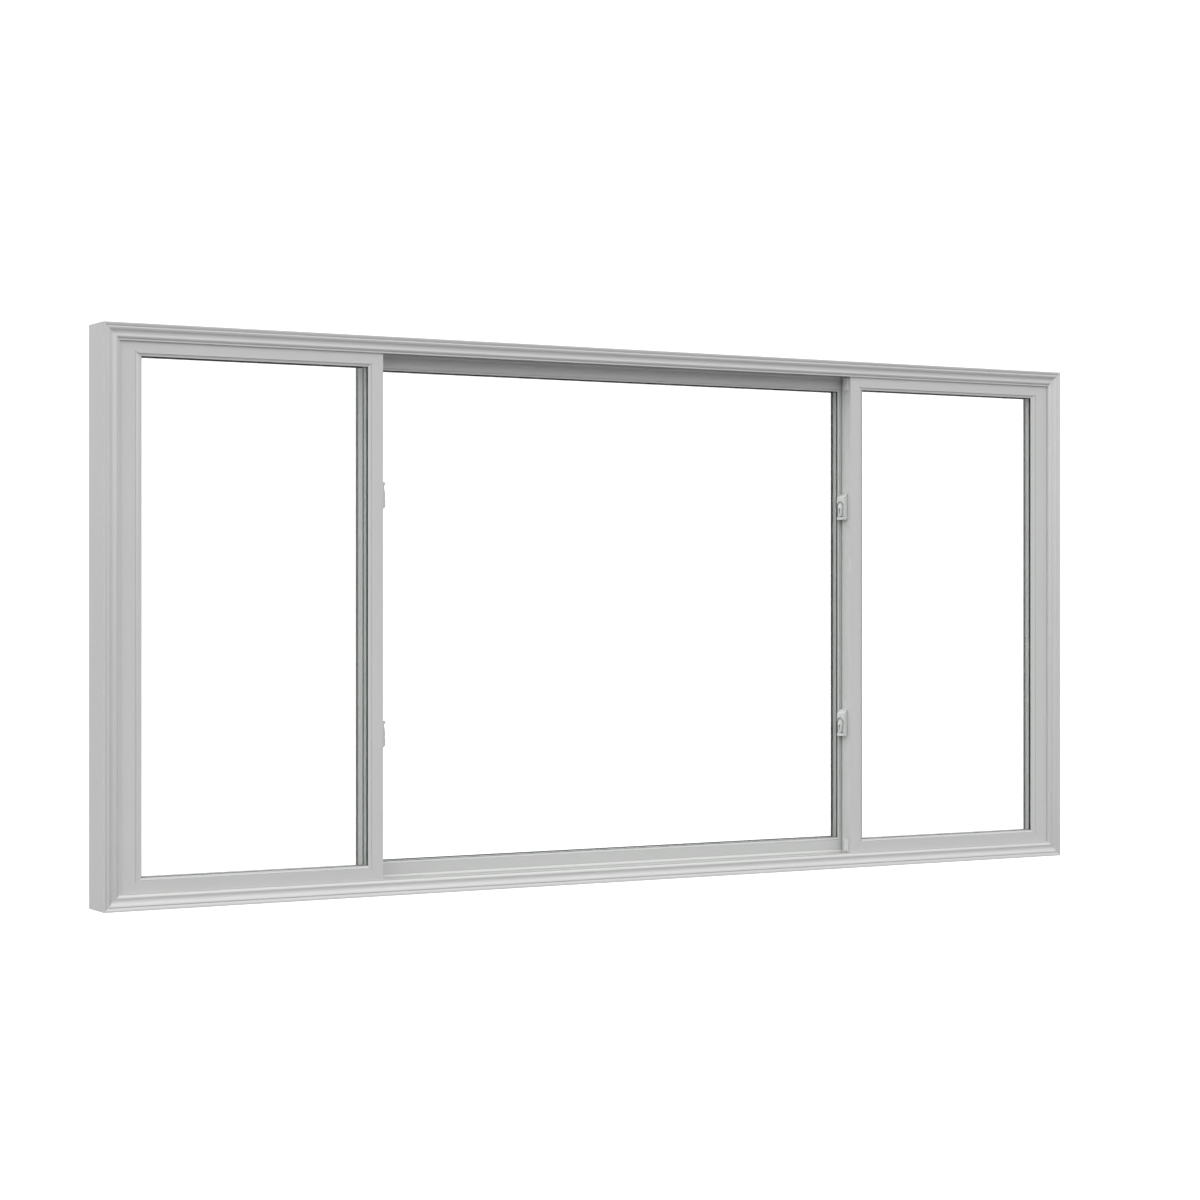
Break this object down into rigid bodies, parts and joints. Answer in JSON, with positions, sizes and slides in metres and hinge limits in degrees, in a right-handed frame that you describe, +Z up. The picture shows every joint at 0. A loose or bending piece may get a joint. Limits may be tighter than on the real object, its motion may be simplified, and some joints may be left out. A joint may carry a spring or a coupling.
{
  "type": "horizontal sliding window",
  "caption": "White vinyl horizontal sliding window: a fixed centre lite between two sliding end sashes, double glazed, with lever locks.",
  "frame": {"origin": "middle of the sill's flat underside", "axes": "+X to the right seen from the room, +Y outdoors, away from the room, +Z up"},
  "size_m": [2.286, 0.0826, 1.105],
  "materials": {
    "frame_vinyl": "satin",
    "sash_vinyl": "satin",
    "bead_vinyl": "satin",
    "clear_glass": "polished",
    "spacer_bar": "satin",
    "lock_enamel": "satin",
    "keeper_steel": "satin",
    "roller_nylon": "matte",
    "guide_nylon": "matte"
  },
  "bodies": {
    "frame": {"fixed_bottom_rail": "sash_vinyl", "fixed_glass_inner": "clear_glass", "fixed_glass_outer": "clear_glass", "fixed_glazing_beads": "bead_vinyl", "fixed_spacer": "spacer_bar", "fixed_stile_left": "sash_vinyl", "fixed_stile_right": "sash_vinyl", "fixed_top_rail": "sash_vinyl", "frame_head": "frame_vinyl", "frame_jamb_left": "frame_vinyl", "frame_jamb_right": "frame_vinyl", "frame_sill": "frame_vinyl", "left_keepers": "keeper_steel", "right_keepers": "keeper_steel", "weep_covers": "guide_nylon"},
    "left_sash": {"left_sash_bottom_rail": "sash_vinyl", "left_sash_glass_inner": "clear_glass", "left_sash_glass_outer": "clear_glass", "left_sash_glazing_beads": "bead_vinyl", "left_sash_guides": "guide_nylon", "left_sash_lock_lower": "lock_enamel", "left_sash_lock_upper": "lock_enamel", "left_sash_meeting_stile": "sash_vinyl", "left_sash_pull_stile": "sash_vinyl", "left_sash_rollers": "roller_nylon", "left_sash_spacer": "spacer_bar", "left_sash_top_rail": "sash_vinyl"},
    "right_sash": {"right_sash_bottom_rail": "sash_vinyl", "right_sash_glass_inner": "clear_glass", "right_sash_glass_outer": "clear_glass", "right_sash_glazing_beads": "bead_vinyl", "right_sash_guides": "guide_nylon", "right_sash_lock_lower": "lock_enamel", "right_sash_lock_upper": "lock_enamel", "right_sash_meeting_stile": "sash_vinyl", "right_sash_pull_stile": "sash_vinyl", "right_sash_rollers": "roller_nylon", "right_sash_spacer": "spacer_bar", "right_sash_top_rail": "sash_vinyl"},
    "left_upper_lever": {"left_sash_lever_upper": "lock_enamel"},
    "left_lower_lever": {"left_sash_lever_lower": "lock_enamel"},
    "right_upper_lever": {"right_sash_lever_upper": "lock_enamel"},
    "right_lower_lever": {"right_sash_lever_lower": "lock_enamel"}
  },
  "joints": [
    {"name": "left_sash_slide", "type": "slide", "parent": "frame", "child": "left_sash", "axis": [1, 0, 0], "range_m": [0, 0.53]},
    {"name": "right_sash_slide", "type": "slide", "parent": "frame", "child": "right_sash", "axis": [-1, 0, 0], "range_m": [0, 0.53]},
    {"name": "left_upper_lever_turn", "type": "hinge", "parent": "left_sash", "child": "left_upper_lever", "pos_m": [-0.555, -0.0088, 0.7915], "axis": [1, 0, 0], "range_deg": [0, 90]},
    {"name": "left_lower_lever_turn", "type": "hinge", "parent": "left_sash", "child": "left_lower_lever", "pos_m": [-0.555, -0.0088, 0.3185], "axis": [1, 0, 0], "range_deg": [0, 90]},
    {"name": "right_upper_lever_turn", "type": "hinge", "parent": "right_sash", "child": "right_upper_lever", "pos_m": [0.555, -0.0088, 0.7865], "axis": [-1, 0, 0], "range_deg": [0, 90]},
    {"name": "right_lower_lever_turn", "type": "hinge", "parent": "right_sash", "child": "right_lower_lever", "pos_m": [0.555, -0.0088, 0.3135], "axis": [-1, 0, 0], "range_deg": [0, 90]}
  ]
}
